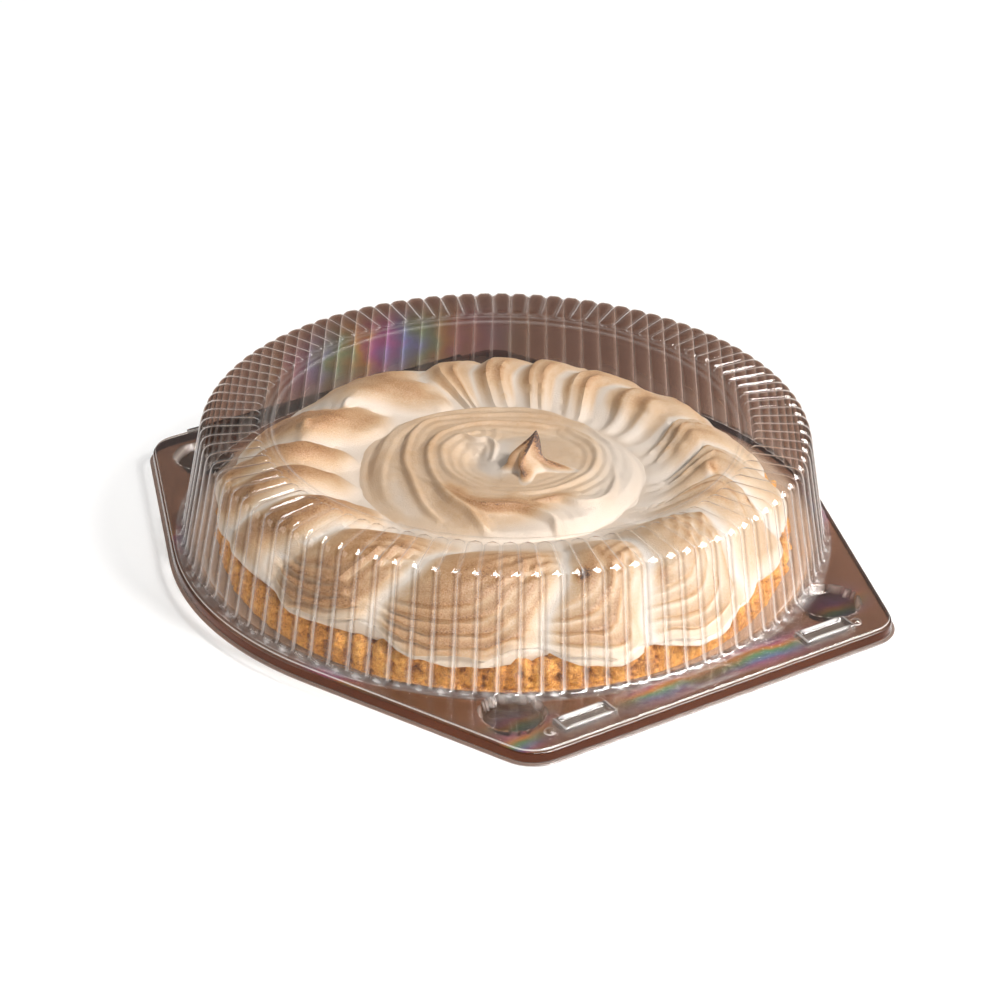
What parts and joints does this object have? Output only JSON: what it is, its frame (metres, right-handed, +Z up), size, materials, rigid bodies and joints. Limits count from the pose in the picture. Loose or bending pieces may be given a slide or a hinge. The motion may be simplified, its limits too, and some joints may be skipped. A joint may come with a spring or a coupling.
{
  "type": "lemon meringue pie",
  "caption": "Round lemon meringue pie with piped, toasted meringue over a crimped pastry case, in its clear tray with a fluted, hinged dome lid.",
  "frame": {"origin": "on the pie's axis, in the plane of the tray's underside", "axes": "+Z up; +Y towards the hinge, so the latches and the opening tab face -Y; +X to the right when the latches face the viewer"},
  "size_m": [0.272, 0.2871, 0.0584],
  "materials": {
    "crust": "baked shortcrust pastry, dry and crumbly, golden brown",
    "filling": "set lemon curd, smooth and slightly glossy",
    "meringue": "soft baked meringue, cream white with toasted tan crests",
    "clear_tray": "clear thermoformed sheet, glossy",
    "clear_lid": "clear thermoformed sheet, glossy"
  },
  "bodies": {
    "base": {"base_tray": "clear_tray", "crust": "crust", "lemon_filling": "filling", "meringue": "meringue"},
    "lid": {"dome_lid": "clear_lid"}
  },
  "joints": [
    {"name": "lid_hinge", "type": "hinge", "parent": "base", "child": "lid", "pos_m": [0, 0.1392, 0.00955], "axis": [-1, 0, 0], "range_deg": [0, 120]}
  ]
}
